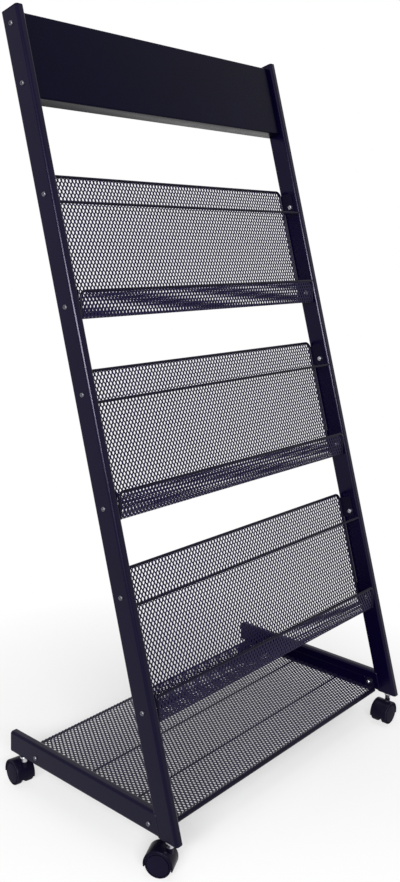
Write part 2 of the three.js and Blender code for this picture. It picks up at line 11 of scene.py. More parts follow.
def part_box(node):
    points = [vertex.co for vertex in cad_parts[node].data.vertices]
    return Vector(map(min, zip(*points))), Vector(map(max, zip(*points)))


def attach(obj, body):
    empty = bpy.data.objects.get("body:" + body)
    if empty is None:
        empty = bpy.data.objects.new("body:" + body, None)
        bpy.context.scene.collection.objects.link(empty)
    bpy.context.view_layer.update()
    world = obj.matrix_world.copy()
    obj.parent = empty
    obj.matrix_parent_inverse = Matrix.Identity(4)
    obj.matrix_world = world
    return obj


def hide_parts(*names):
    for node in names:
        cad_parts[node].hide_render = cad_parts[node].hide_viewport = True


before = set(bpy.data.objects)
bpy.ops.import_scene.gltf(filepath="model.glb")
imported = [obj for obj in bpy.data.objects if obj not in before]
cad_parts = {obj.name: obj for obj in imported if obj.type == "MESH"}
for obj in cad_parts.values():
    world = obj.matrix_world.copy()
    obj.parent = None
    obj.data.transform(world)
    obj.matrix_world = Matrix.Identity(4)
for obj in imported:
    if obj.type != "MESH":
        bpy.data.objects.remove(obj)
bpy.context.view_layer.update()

# Sizes are in millimetres, in the rack's own directions: x to the right, and on the level y to the
# rear from the uprights' front tip and z up from the underside of the feet. On the lean, q is
# rearwards from the front of the upright and s runs along it.
MM = 0.001
LEAN = math.radians(16.6)
COS, SIN, TAN = math.cos(LEAN), math.sin(LEAN), math.tan(LEAN)
UPRIGHT_LOW, UPRIGHT_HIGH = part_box("upright_left")
FRONT_TIP = UPRIGHT_LOW.y / MM
FOOT_BASE = UPRIGHT_LOW.z / MM
OUTER_FACE = -UPRIGHT_LOW.x / MM
INNER_FACE = -UPRIGHT_HIGH.x / MM
SIDES = (("left", -1), ("right", 1))

# Tubes and their end caps
TUBE_WIDTH = OUTER_FACE - INNER_FACE
TUBE_AXIS = (OUTER_FACE + INNER_FACE) / 2
TUBE_DEPTH = 37
TUBE_CORNER = 4.5
TUBE_EDGE = 0.35  # chamfer at the cut ends
UPRIGHT_LENGTH = 1247
FOOT_LENGTH = 372
CAP_FLANGE = 2
CAP_LAYERS = (  # how far the cap's outline is drawn in, and its height over the tube's end
    (1.2, -6), (1.2, 0.2), (0.1, 0.3), (0, 0.6), (0.1, 1.0), (0.4, 1.4), (1, 1.75), (2, 1.95), (3.5, 2),
)

# Header panel
HEADER_TOP = 1239
HEADER_BOTTOM = 1108
HEADER_FRONT = 9
HEADER_REAR = 35
HEADER_BEND = 2.5
SHEET = 1.2

# Tiers
TIER_TOPS = (1001, 701, 401)
BACK_HEIGHT = 219
BACK_INSET = 34
BACK_CORNER = 11
TRAY_DEPTH = 26
TRAY_BEND = 2.5
LIP_HEIGHT = 43
LIP_LEAN = math.radians(4.5)
LIP_CORNER = 9
EAR_FRONT = 11
EAR_DROP = 10
EAR_HEIGHT = 37
ROD_RADIUS = 2.25
ROD_DROP = 51.5
ROD_INSET = 3.6
ROD_ENGAGEMENT = 5
ROD_SIDES = 20
WIRE_RADIUS = 2.25
SEAT = 0.3  # gap between pieces that touch on the real rack
PLATE = 1.5
PLATE_FACE = INNER_FACE - SEAT - PLATE
PLATE_EDGE = 0.3  # chamfer of cut plates
WIRE_HALF = PLATE_FACE - SEAT - WIRE_RADIUS
SHEET_MIDDLE = SHEET / 2

# Fineness of the meshes
TINY = 1e-6  # less than any real size
SHARP_DEG = 32  # faces that meet at a larger angle show an edge
BEND_STEPS = 8  # in the round corner of a tube, a wire or a folded sheet
CORNER_STEPS = 4  # in the round corner of a plate or a moulded piece
WIRE_SIDES = 16
WIRE_END = 0.3  # softening of a wire's cut ends, as a share of its radius


def level(x, y, z):
    """Point on the level, in metres in the shared frame."""
    return (x * MM, (FRONT_TIP + y) * MM, (FOOT_BASE + z) * MM)


def leaning(x, q, s):
    """Point on the lean, in metres in the shared frame."""
    return level(x, q * COS + s * SIN, s * COS - q * SIN)


# Outlines and paths

def rounded_path(points, radii, steps):
    """Polyline whose inner corners are round, all by one radius or each by its own."""
    points = [np.array(p, float) for p in points]
    out = [points[0]]
    for i in range(1, len(points) - 1):
        radius = radii[i - 1] if isinstance(radii, (list, tuple)) else radii
        corner = points[i]
        if radius <= 0:
            out.append(corner)
            continue
        back = points[i - 1] - corner
        ahead = points[i + 1] - corner
        back /= np.linalg.norm(back)
        ahead /= np.linalg.norm(ahead)
        half = math.acos(max(-1.0, min(1.0, float(back @ ahead)))) / 2
        middle = back + ahead
        centre = corner + middle / np.linalg.norm(middle) * radius / math.sin(half)
        start = corner + back * radius / math.tan(half) - centre
        end = corner + ahead * radius / math.tan(half) - centre
        sweep = math.pi - 2 * half
        for k in range(steps + 1):
            share = k / steps
            mixed = math.sin((1 - share) * sweep) * start + math.sin(share * sweep) * end
            out.append(centre + mixed / math.sin(sweep))
    out.append(points[-1])
    return out


def rounded_rectangle(left, bottom, right, top, radius, steps):
    """Outline with four round corners, counter-clockwise."""
    outline = []
    corners = ((right, top, 0), (left, top, 1), (left, bottom, 2), (right, bottom, 3))
    for x, y, quarter in corners:
        centre_x = x - radius if x == right else x + radius
        centre_y = y - radius if y == top else y + radius
        for k in range(steps + 1):
            angle = (quarter + k / steps) * math.pi / 2
            outline.append((centre_x + radius * math.cos(angle), centre_y + radius * math.sin(angle)))
    return outline


def inset(outline, distance):
    """Outline moved inwards by a distance, for a counter-clockwise outline."""
    moved = []
    count = len(outline)
    for i, (x, y) in enumerate(outline):
        ax, ay = outline[i - 1]
        bx, by = outline[(i + 1) % count]
        first = Vector((y - ay, ax - x)).normalized()
        second = Vector((by - y, x - bx)).normalized()
        shift = (first + second) / (1 + first.dot(second)) * distance
        moved.append((x - shift.x, y - shift.y))
    return moved


def mirrored(outline, side):
    """Outline with its first value turned to one side, still counter-clockwise."""
    return outline if side > 0 else [(-a, b) for a, b in reversed(outline)]


class Skin:
    """Vertices and faces of one piece, gathered from closed skins."""

    def __init__(self):
        self.points = []
        self.faces = []

    def add(self, points, faces):
        base = len(self.points)
        self.points += [tuple(p) for p in points]
        self.faces += [[base + i for i in face] for face in faces]

    def rings(self, rings, closed=False):
        """Skin over rings of points, with its two ends filled unless it closes on itself."""
        size = len(rings[0])
        count = len(rings)
        faces = []
        for r in range(count if closed else count - 1):
            this, following = r * size, (r + 1) % count * size
            for k in range(size):
                nxt = (k + 1) % size
                faces.append([this + k, this + nxt, following + nxt, following + k])
        if not closed:
            faces.append(list(range(size))[::-1])
            faces.append([(count - 1) * size + k for k in range(size)])
        self.add([p for ring in rings for p in ring], faces)

    def bar(self, outline, low, high, place, chamfer):
        """Outline drawn out between two distances, with chamfered end edges."""
        small = inset(outline, chamfer)
        stations = (
            (small, low), (outline, low + chamfer), (outline, high - chamfer), (small, high),
        )
        self.rings([[place(a, b, d) for a, b in shape] for shape, d in stations])

    def tube(self, path, radius, sides=WIRE_SIDES, closed=False, swell=None):
        """Round wire along a path of points in metres, with softened ends."""
        path = [Vector(p) for p in path]
        count = len(path)
        radius *= MM
        tangents = []
        for i in range(count):
            before = path[i - 1] if closed or i else path[0]
            after = path[(i + 1) % count] if closed or i < count - 1 else path[-1]
            tangents.append((after - before).normalized())
        normal = tangents[0].orthogonal().normalized()
        rings = []
        for i, (point, tangent) in enumerate(zip(path, tangents)):
            normal = (normal - tangent * normal.dot(tangent)).normalized()
            across = tangent.cross(normal)
            grown = radius * (swell(i / count) if swell else 1)
            turns = [2 * math.pi * k / sides for k in range(sides)]
            spokes = [normal * math.cos(a) + across * math.sin(a) for a in turns]
            here = [(point, grown)]
            soft = radius * WIRE_END
            if not closed and i == 0:
                here = [(point, grown - soft), (point + tangent * soft, grown)]
            if not closed and i == count - 1:
                here = [(point - tangent * soft, grown), (point, grown - soft)]
            rings += [[centre + spoke * size for spoke in spokes] for centre, size in here]
        self.rings(rings, closed)

    def lathe(self, profile, place, sides, radial=None):
        """Solid of revolution from (radius, height) points, the first and last on the axis."""
        points, faces, starts = [], [], []
        for index, (radius, height) in enumerate(profile):
            starts.append(len(points))
            if radius < TINY:
                points.append(place(0, 0, height))
                continue
            for k in range(sides):
                angle = 2 * math.pi * k / sides
                size = radius * (radial(index, angle) if radial else 1)
                points.append(place(size * math.cos(angle), size * math.sin(angle), height))
        for index in range(len(profile) - 1):
            lower = profile[index][0] < TINY
            upper = profile[index + 1][0] < TINY
            a, b = starts[index], starts[index + 1]
            for k in range(sides):
                nxt = (k + 1) % sides
                if lower:
                    faces.append([a, b + nxt, b + k])
                elif upper:
                    faces.append([a + k, a + nxt, b])
                else:
                    faces.append([a + k, a + nxt, b + nxt, b + k])
        self.add(points, faces)

    def piece(self, name, body, slot, replaces=(), sharp_deg=SHARP_DEG, material=None):
        """The finished piece, with its faces turned outwards."""
        mesh = bpy.data.meshes.new(name)
        mesh.from_pydata(self.points, [], self.faces)
        work = bmesh.new()
        work.from_mesh(mesh)
        bmesh.ops.recalc_face_normals(work, faces=work.faces)
        work.to_mesh(mesh)
        work.free()
        return make_piece(mesh, name, body, slot, replaces, sharp_deg, material)


def make_piece(mesh, name, body, slot, replaces, sharp_deg=SHARP_DEG, material=None):
    """Object that rides on a CAD body and stands for the CAD nodes it replaces."""
    mesh.shade_smooth()
    mesh.set_sharp_from_angle(angle=math.radians(sharp_deg))
    mesh.materials.append(MATERIALS[material or slot])
    obj = bpy.data.objects.new(name, mesh)
    bpy.context.scene.collection.objects.link(obj)
    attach(obj, body)
    if replaces:
        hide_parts(*replaces)
    return obj


def keep_flat(obj):
    """Lets large flat sides set the shading of their edges, so that they don't look bulged."""
    obj.modifiers.new("flat sides", "WEIGHTED_NORMAL").keep_sharp = True


# Materials

class Shader:
    """Node tree of a material or of the world, with short calls to add and join nodes."""

    def __init__(self, owner):
        owner.use_nodes = True
        self.tree = owner.node_tree
        self.tree.nodes.clear()

    def add(self, kind, inputs=None, **settings):
        made = self.tree.nodes.new(kind)
        for key, value in settings.items():
            setattr(made, key, value)
        for key, value in (inputs or {}).items():
            if isinstance(value, bpy.types.NodeSocket):
                self.tree.links.new(value, made.inputs[key])
            else:
                made.inputs[key].default_value = value
        return made

    def ramp(self, factor, stops):
        """Colours by a value, from (position, colour) stops."""
        made = self.add("ShaderNodeValToRGB", {"Fac": factor})
        elements = made.color_ramp.elements
        while len(elements) < len(stops):
            elements.new(position=0.5)
        for element, (position, colour) in zip(elements, stops):
            element.position = position
            element.color = (*colour, 1)
        return made.outputs["Color"]

    def noise(self, vector, scale, detail):
        """Noise of so many steps per unit of the vector, which is a metre unless it is stretched."""
        made = self.add("ShaderNodeTexNoise", {"Vector": vector, "Scale": scale, "Detail": detail})
        return made.outputs["Fac"]

    def remap(self, value, given, wanted):
        made = self.add("ShaderNodeMapRange", {
            "Value": value,
            "From Min": given[0], "From Max": given[1], "To Min": wanted[0], "To Max": wanted[1],
        })
        return made.outputs["Result"]

    def multiply(self, first, second):
        return self.add("ShaderNodeMath", {0: first, 1: second}, operation="MULTIPLY").outputs[0]

    def larger(self, first, second):
        return self.add("ShaderNodeMath", {0: first, 1: second}, operation="MAXIMUM").outputs[0]

    def finish(self, kind, shown):
        out = self.add(kind)
        self.tree.links.new(shown, out.inputs["Surface"])


NOISE_RANGE = (0.3, 0.7)  # where nearly all of a noise texture's values lie
GRAIN_HEIGHT = 0.03

# Paint and plastic. Noise is given as its scale and its detail.
COAT_CLOUDS = (9, 5)
COAT_SHADES = ((0.3, 0.84), (0.55, 1), (0.75, 1.18))  # share of the colour at values of the clouds
COAT_SMEARS = (38, 4)
COAT_SHEEN = (0.9, 1.12)  # least and greatest share of the roughness
COAT_GRAIN_DETAIL = 2
COAT_BUMP = 0.08
COAT_IOR = 1.5
COAT_TINT = (0.84, 0.81, 1.0, 1.0)

# Plated steel
PLATING_STRETCH = (900, 900, 120)
PLATING_LINES = (1, 3)
PLATING_SPOTS = (220, 4)
PLATING_STOPS = (0.3, 0.6)  # values of the spots for the dull and the bright colour
PLATING_SHEEN = (0.8, 1.3)
PLATING_BUMP = 0.25


def scaled(values, share):
    return [value * share for value in values]


def coated(name, base, roughness, specular, grain):
    """Paint or moulded plastic: fine grain in the surface, and an uneven colour and sheen."""
    material = bpy.data.materials.new(name)
    shader = Shader(material)
    place = shader.add("ShaderNodeTexCoord").outputs["Object"]
    shades = [(position, scaled(base, share)) for position, share in COAT_SHADES]
    colour = shader.ramp(shader.noise(place, *COAT_CLOUDS), shades)
    smears = shader.noise(place, *COAT_SMEARS)
    bump = shader.add("ShaderNodeBump", {
        "Height": shader.noise(place, grain, COAT_GRAIN_DETAIL),
        "Strength": COAT_BUMP,
        "Distance": GRAIN_HEIGHT * MM,
    })
    surface = shader.add("ShaderNodeBsdfPrincipled", {
        "Base Color": colour,
        "Roughness": shader.remap(smears, NOISE_RANGE, scaled(COAT_SHEEN, roughness)),
        "Normal": bump.outputs["Normal"],
        "IOR": COAT_IOR,
        "Specular IOR Level": specular,
        "Specular Tint": COAT_TINT,
    })
    shader.finish("ShaderNodeOutputMaterial", surface.outputs["BSDF"])
    return material


def plated(name, dull, bright, roughness):
    """Plated steel with a faint rolled grain and dull spots."""
    material = bpy.data.materials.new(name)
    shader = Shader(material)
    place = shader.add("ShaderNodeTexCoord").outputs["Object"]
    stretched = shader.add("ShaderNodeMapping", {"Vector": place, "Scale": PLATING_STRETCH})
    lines = shader.noise(stretched.outputs["Vector"], *PLATING_LINES)
    spots = shader.noise(place, *PLATING_SPOTS)
    bump = shader.add("ShaderNodeBump", {
        "Height": lines,
        "Strength": PLATING_BUMP,
        "Distance": GRAIN_HEIGHT * MM,
    })
    surface = shader.add("ShaderNodeBsdfPrincipled", {
        "Base Color": shader.ramp(spots, list(zip(PLATING_STOPS, (dull, bright)))),
        "Roughness": shader.remap(spots, NOISE_RANGE, scaled(PLATING_SHEEN, roughness)),
        "Normal": bump.outputs["Normal"],
        "Metallic": 1.0,
    })
    shader.finish("ShaderNodeOutputMaterial", surface.outputs["BSDF"])
    return material


# Colour, roughness, specular level, and grain in steps per metre
COATINGS = {
    "powder_black": ((0.0009, 0.0003, 0.0068), 0.21, 0.14, 750),
    "header_black": ((0.0003, 0.0001, 0.0046), 0.26, 0.052, 750),
    "mesh_black": ((0.0070, 0.0054, 0.0205), 0.34, 0.08, 1100),
    "wire_black": ((0.0026, 0.0020, 0.0070), 0.30, 0.08, 900),
    "cap_plastic": ((0.0022, 0.0016, 0.0080), 0.40, 0.10, 1600),
    "caster_plastic": ((0.0024, 0.0019, 0.0064), 0.30, 0.06, 1600),
    "wheel_plastic": ((0.0050, 0.0042, 0.0108), 0.36, 0.015, 1400),
}
# Dull colour, bright colour and roughness
PLATINGS = {
    "zinc_steel": ((0.40, 0.40, 0.43), (0.58, 0.59, 0.62), 0.28),
    "bolt_steel": ((0.08, 0.08, 0.092), (0.14, 0.14, 0.16), 0.38),
}
MATERIALS = {slot: coated(slot, *finish) for slot, finish in COATINGS.items()}
MATERIALS |= {slot: plated(slot, *finish) for slot, finish in PLATINGS.items()}


# Uprights, feet and their caps

UPRIGHT_STATION = 100
FOOT_STATION = 45


def tube_outline(drawn_in):
    """Section of a tube: across, and from its front or its underside."""
    half = TUBE_WIDTH / 2 - drawn_in
    top = TUBE_DEPTH - drawn_in
    return rounded_rectangle(-half, drawn_in, half, top, TUBE_CORNER - drawn_in, BEND_STEPS)


def build_upright(name, side):
    centre = side * TUBE_AXIS
    tube_end = UPRIGHT_LENGTH - CAP_FLANGE
    tube = Skin()
    stations = [(TUBE_EDGE, lambda q: q * TAN), (0, lambda q: q * TAN + TUBE_EDGE)]
    stations += [(0, lambda q, s=s: s) for s in range(UPRIGHT_STATION, tube_end, UPRIGHT_STATION)]
    stations += [(0, lambda q: tube_end - TUBE_EDGE), (TUBE_EDGE, lambda q: tube_end)]
    tube.rings([
        [leaning(centre + x, q, along(q)) for x, q in tube_outline(drawn_in)]
        for drawn_in, along in stations
    ])
    keep_flat(tube.piece(f"upright_tube_{name}", "frame", "powder_black", [f"upright_{name}"]))
    cap = Skin()
    cap.rings([
        [leaning(centre + x, q, tube_end + rise) for x, q in tube_outline(drawn_in)]
        for drawn_in, rise in CAP_LAYERS
    ])
    keep_flat(cap.piece(f"upright_end_cap_{name}", "frame", "cap_plastic", [f"upright_cap_{name}"]))


def upright_rear(x):
    """Distance from the upright's front to its rear skin, at a distance from the tube's middle."""
    past = max(0.0, abs(x) - (TUBE_WIDTH / 2 - TUBE_CORNER))
    return TUBE_DEPTH - TUBE_CORNER + math.sqrt(max(0.0, TUBE_CORNER ** 2 - past ** 2))


def build_foot(name, side):
    centre = side * TUBE_AXIS
    tube_end = FOOT_LENGTH - CAP_FLANGE
    hidden_end = TUBE_DEPTH - TUBE_CORNER
    tube = Skin()
    stations = [(0, lambda z: hidden_end / COS + z * TAN)]
    stations += [(0, lambda z, y=y: y) for y in range(2 * FOOT_STATION, tube_end, FOOT_STATION)]
    stations += [(0, lambda z: tube_end - TUBE_EDGE), (TUBE_EDGE, lambda z: tube_end)]
    tube.rings([
        [level(centre + x, along(z), z) for x, z in tube_outline(drawn_in)]
        for drawn_in, along in stations
    ])
    keep_flat(tube.piece(f"foot_tube_{name}", "frame", "powder_black", [f"foot_{name}"]))
    cap = Skin()
    cap.rings([
        [level(centre + x, tube_end + rise, z) for x, z in tube_outline(drawn_in)]
        for drawn_in, rise in CAP_LAYERS
    ])
    keep_flat(cap.piece(f"foot_end_cap_{name}", "frame", "cap_plastic", [f"foot_cap_{name}"]))


WELD_RADIUS = 1.25
WELD_DEPTH = 0.75  # skin of the tubes to the axis of the bead
WELD_STEP = 1.1
WELD_RIPPLE = 0.08  # share of the radius
WELD_TURN = 2.4  # of the ripple in one step, in radians
WELD_SIDES = 10
WELD_SHARP_DEG = 60


def build_weld(name, side):
    """Bead all round the foot's joint with the rear of the upright."""
    seam = []
    for x, z in tube_outline(WELD_DEPTH):
        q = upright_rear(x * TUBE_WIDTH / (TUBE_WIDTH - 2 * WELD_DEPTH)) - WELD_DEPTH / 2
        seam.append(Vector(level(side * TUBE_AXIS + x, q / COS + z * TAN, z)))
    dense = []
    for point, following in zip(seam, seam[1:] + seam[:1]):
        pieces = max(1, round((following - point).length / (WELD_STEP * MM)))
        dense += [point.lerp(following, k / pieces) for k in range(pieces)]
    bead = Skin()
    bead.tube(
        dense, WELD_RADIUS, WELD_SIDES, closed=True,
        swell=lambda share: 1 + WELD_RIPPLE * math.sin(len(dense) * WELD_TURN * share),
    )
    bead.piece(f"foot_weld_{name}", "frame", "powder_black", sharp_deg=WELD_SHARP_DEG)


# Header panel

HEADER_BEND_STEPS = 5
ARC = 0.5  # profile of a bevel that is an arc


def build_header():
    """Sheet folded back on all four sides, open at the rear."""
    half = INNER_FACE - SEAT
    mesh = bpy.data.meshes.new("header_sheet")
    work = bmesh.new()
    corners = []
    for q in (HEADER_FRONT, HEADER_REAR):
        for s in (HEADER_BOTTOM, HEADER_TOP):
            for x in (-half, half):
                corners.append(work.verts.new(leaning(x, q, s)))
    front = work.faces.new([corners[i] for i in (0, 1, 3, 2)])
    for fold in ((0, 1, 5, 4), (1, 3, 7, 5), (3, 2, 6, 7), (2, 0, 4, 6)):
        work.faces.new([corners[i] for i in fold])
    bmesh.ops.recalc_face_normals(work, faces=work.faces)
    outwards = Vector((0, -COS, SIN))
    if front.normal.dot(outwards) < 0:
        bmesh.ops.reverse_faces(work, faces=work.faces)
    bmesh.ops.bevel(
        work, geom=list(front.edges), offset=HEADER_BEND * MM, segments=HEADER_BEND_STEPS, profile=ARC,
        affect="EDGES",
    )
    work.to_mesh(mesh)
    work.free()
    panel = make_piece(mesh, "header_sheet", "frame", "header_black", ["header_panel"])
    sheet = panel.modifiers.new("sheet", "SOLIDIFY")
    sheet.thickness = SHEET * MM
    sheet.offset = -1  # thickness inwards
    keep_flat(panel)


# Expanded metal

COLUMN_PITCH = 7.6
ROW_PITCH = 5.74
BOND = 2.38  # half the height of a bond in its middle
BOND_SIDE = 1.08  # and at its sides
# Width of a strand, thickness of the sheet, and slope of the strands out of it
TIER_WEAVE = (1.85, 0.6, 0)
SHELF_WEAVE = (2.56, 0.8, -0.2)


def expanded_metal(skin, place, rows, row_pitch, half_width, weave):
    """Slit and drawn sheet: staggered rows of bonds, each joined to the next row by slanted strands.

    place(x, u, n) gives the points at a distance u along the sheet and n out of its middle, and
    half_width(u) how far from the middle a row reaches.
    """
    strand, thickness, slope = weave
    widest = max(half_width(row * row_pitch) for row in range(rows + 1))
    step = widest / round(widest / (COLUMN_PITCH / 2))
    number = {}
    for row in range(rows + 1):
        reach = int(half_width(row * row_pitch) / step + TINY)
        for column in range(-reach, reach + 1):
            if (row + column) % 2 == 0:
                number[row, column] = len(number)
    local = np.array([
        (-strand, BOND_SIDE), (0, BOND), (strand, BOND_SIDE),
        (strand, -BOND_SIDE), (0, -BOND), (-strand, -BOND_SIDE),
    ])
    size = len(local)
    keys = np.array(list(number))
    x = (keys[:, 1] * step)[:, None] + local[None, :, 0]
    u = (keys[:, 0] * row_pitch)[:, None] + local[None, :, 1]
    n = np.repeat(local[None, :, 0] * slope, len(keys), 0)
    x, u, n = x.ravel(), u.ravel(), n.ravel()
    count = len(x)
    points = np.concatenate([place(x, u, n - thickness / 2), place(x, u, n + thickness / 2)])
    quads = []
    for (row, column), index in number.items():
        a = size * index
        quads += [(a, a + 1, a + 4, a + 5), (a + 1, a + 2, a + 3, a + 4)]
        right = number.get((row + 1, column + 1))
        left = number.get((row + 1, column - 1))
        if right is not None:
            b = size * right
            quads.append((a + 1, b + 5, b + 4, a + 2))
        if left is not None:
            b = size * left
            quads.append((a, b + 4, b + 3, a + 1))
    quads = np.array(quads)
    edges = np.stack([quads, np.roll(quads, -1, 1)], 2).reshape(-1, 2)
    ordered = np.sort(edges, 1)
    _, first, times = np.unique(
        ordered[:, 0] * count + ordered[:, 1], return_index=True, return_counts=True,
    )
    rim = edges[first[times == 1]]
    walls = np.stack([rim[:, 1], rim[:, 0], rim[:, 0] + count, rim[:, 1] + count], 1)
    faces = np.concatenate([quads, quads[:, ::-1] + count, walls])
    skin.add(points.tolist(), faces.tolist())


class SheetPath:
    """Side view of a folded sheet, from which points along and out of the sheet are placed."""

    def __init__(self, corners, bend):
        line = np.array(rounded_path(corners, bend, BEND_STEPS))
        lengths = np.hypot(*np.diff(line, axis=0).T)
        self.line = line
        self.along = np.concatenate([[0], np.cumsum(lengths)])
        self.length = float(self.along[-1])
        heading = np.gradient(line, axis=0)
        self.heading = heading / np.linalg.norm(heading, axis=1)[:, None]

    def place(self, x, u, n):
        u = np.asarray(u)
        inside = np.clip(u, 0, self.length)
        y, z, ty, tz = (
            np.interp(inside, self.along, column)
            for column in (*self.line.T, *self.heading.T)
        )
        size = np.hypot(ty, tz)
        ty, tz = ty / size, tz / size
        past = u - inside
        y = y + past * ty - n * tz
        z = z + past * tz + n * ty
        return np.stack([x * MM, (FRONT_TIP + y) * MM, (FOOT_BASE + z) * MM], 1)


# Tiers

def tray_fold(top):
    """Place of a tray's rear fold on the level, at the front of the back and the top of the floor."""
    along = top - BACK_HEIGHT
    return BACK_INSET * COS + along * SIN, along * COS - BACK_INSET * SIN


def tray_point(top, x, y, z):
    fold_y, fold_z = tray_fold(top)
    return level(x, fold_y + y, fold_z + z)


def lip_point(y, z):
    """Point of a tray's leaning lip, in the tray's own directions."""
    turned_y = y * math.cos(LIP_LEAN) + z * math.sin(LIP_LEAN)
    return turned_y - TRAY_DEPTH, z * math.cos(LIP_LEAN) - y * math.sin(LIP_LEAN)


def build_tier_mesh(tier, top):
    fold_y, fold_z = tray_fold(top)
    middle = BACK_INSET + SHEET_MIDDLE
    upper = top - WIRE_RADIUS
    floor = fold_z - SHEET_MIDDLE
    lip_top = lip_point(-SHEET_MIDDLE, LIP_HEIGHT - WIRE_RADIUS)
    lip_low = lip_point(-SHEET_MIDDLE, 0)
    slope = (lip_top[0] - lip_low[0]) / (lip_top[1] - lip_low[1])
    corners = [
        (middle * COS + upper * SIN, upper * COS - middle * SIN),
        (middle / COS + floor * TAN, floor),
        (fold_y + lip_low[0] - (SHEET_MIDDLE + lip_low[1]) * slope, floor),
        (fold_y + lip_top[0], fold_z + lip_top[1]),
    ]
    path = SheetPath(corners, TRAY_BEND)
    rows = round(path.length / ROW_PITCH)
    fold = math.dist(corners[0], corners[1])

    def half_width(u):
        if u < fold - ROW_PITCH:
            corner, dropped = BACK_CORNER, max(0.0, BACK_CORNER - u)
        else:
            corner, dropped = LIP_CORNER, max(0.0, LIP_CORNER - path.length + u)
        return WIRE_HALF + WIRE_RADIUS / 2 - corner + math.sqrt(corner ** 2 - dropped ** 2)

    sheet = Skin()
    expanded_metal(sheet, path.place, rows, path.length / rows, half_width, TIER_WEAVE)
    nodes = [f"tier_{tier}_{part}_mesh" for part in ("back", "floor", "lip")]
    sheet.piece(f"tier_{tier}_expanded_sheet", "frame", "mesh_black", nodes)


def hoop(half, bottom, top, radius, place):
    """Wire path up one side, across the top and down the other side."""
    corners = [(-half, bottom), (-half, top), (half, top), (half, bottom)]
    return [place(a, b) for a, b in rounded_path(corners, radius, BEND_STEPS)]


def build_back_frame(tier, top):
    ear_top = top - EAR_DROP
    middle = BACK_INSET + SHEET_MIDDLE
    wire = hoop(
        WIRE_HALF, top - BACK_HEIGHT + SEAT, top - WIRE_RADIUS, BACK_CORNER,
        lambda x, s: leaning(x, middle, s),
    )
    skin = Skin()
    skin.tube(wire, WIRE_RADIUS)
    outer = INNER_FACE - SEAT
    rear = middle + PLATE / 2
    section = [
        (outer, EAR_FRONT), (outer, rear), (WIRE_HALF, rear), (WIRE_HALF, rear - PLATE),
        (PLATE_FACE, rear - PLATE), (PLATE_FACE, EAR_FRONT),
    ]
    for _, side in SIDES:
        skin.bar(mirrored(section, side), ear_top - EAR_HEIGHT, ear_top, leaning, PLATE_EDGE)
    skin.piece(f"tier_{tier}_top_wire", "frame", "wire_black", [f"tier_{tier}_back_frame"])


def build_lip_wire(tier, top):
    def place(x, z):
        y, height = lip_point(-SHEET_MIDDLE, z)
        return tray_point(top, x, y, height)

    skin = Skin()
    skin.tube(hoop(WIRE_HALF, SEAT, LIP_HEIGHT - WIRE_RADIUS, LIP_CORNER, place), WIRE_RADIUS)
    skin.piece(f"tier_{tier}_tray_wire", "frame", "wire_black", [f"tier_{tier}_lip_wire"])


def side_plate(outline, side, place):
    """Plate that lies on the inner side of a tube, drawn in the plane of y and z."""
    skin = Skin()
    ends = sorted((side * (INNER_FACE - SEAT), side * PLATE_FACE))
    skin.bar(outline, *ends, lambda y, z, x: place(x, y, z), PLATE_EDGE)
    return skin


def rounded_corners(corners, radii):
    """Closed outline with round corners, none of which may lie on a straight side."""
    closed = corners[-1:] + corners + corners[:1]
    return [tuple(p) for p in rounded_path(closed, radii, CORNER_STEPS)[1:-1]]


def build_end_plate(tier, top, name, side):
    outline = rounded_corners([
        (-TRAY_DEPTH, -SHEET), (0, -SHEET), (LIP_HEIGHT * TAN, LIP_HEIGHT),
        (LIP_HEIGHT * math.tan(LIP_LEAN) - TRAY_DEPTH, LIP_HEIGHT),
    ], TRAY_BEND)
    plate = side_plate(outline, side, lambda x, y, z: tray_point(top, x, y, z))
    node = f"tier_{tier}_end_plate_{name}"
    plate.piece(f"tier_{tier}_tray_end_{name}", "frame", "powder_black", [node])


def build_rod(tier, top):
    reach = INNER_FACE + ROD_ENGAGEMENT
    skin = Skin()
    line = [leaning(x, ROD_INSET, top - ROD_DROP) for x in (-reach, reach)]
    skin.tube(line, ROD_RADIUS, ROD_SIDES)
    skin.piece(f"tier_{tier}_front_rod", "frame", "wire_black", [f"tier_{tier}_retaining_rod"])


# Bottom shelf

SHELF_LEVEL = 1.4
SHELF_FRONT = 45.5
SHELF_REAR = 357
FRONT_BAR_RADIUS = 4
FRONT_BAR_SIDES = 24
SHELF_ROD_RADIUS = 1.75
SHELF_RODS = (82.5, 184.5)  # from the front bar
REAR_ROD_RADIUS = 2.25
BOLT_LEVEL = 14
TAB_BOLT = SHELF_FRONT + 10.5
TAB_RADIUS = 8
TAB_FRONT = SHELF_FRONT + 4.5  # of its upper end
TAB_CORNERS = (3.9, 2, 7, 8)  # radii, from the lower front corner round
STRIP_BOLT = 308
STRIP_TOP = 21
STRIP_BOTTOM = -4
STRIP_CORNER = 2


def build_shelf_mesh():
    strand, thickness, slope = SHELF_WEAVE
    rise = thickness / 2 + strand * abs(slope)
    half = PLATE_FACE - SEAT - strand
    front, rear = SHELF_FRONT + FRONT_BAR_RADIUS / 2, SHELF_REAR - BOND
    rows = round((rear - front) / ROW_PITCH)

    def place(x, u, n):
        return np.stack(level(x, front + u, SHELF_LEVEL + rise + n), 1)

    sheet = Skin()
    expanded_metal(sheet, place, rows, (rear - front) / rows, lambda u: half, SHELF_WEAVE)
    sheet.piece("shelf_expanded_sheet", "frame", "mesh_black", ["shelf_mesh"])


def tab_outline():
    """Outline of the plate that holds the front bar, with a round corner at each of its ends."""
    low, high = -FRONT_BAR_RADIUS, BOLT_LEVEL + TAB_RADIUS
    rear = TAB_BOLT + TAB_RADIUS
    corners = [(SHELF_FRONT - FRONT_BAR_RADIUS, low), (rear, low), (rear, high), (TAB_FRONT, high)]
    return rounded_corners(corners, TAB_CORNERS)


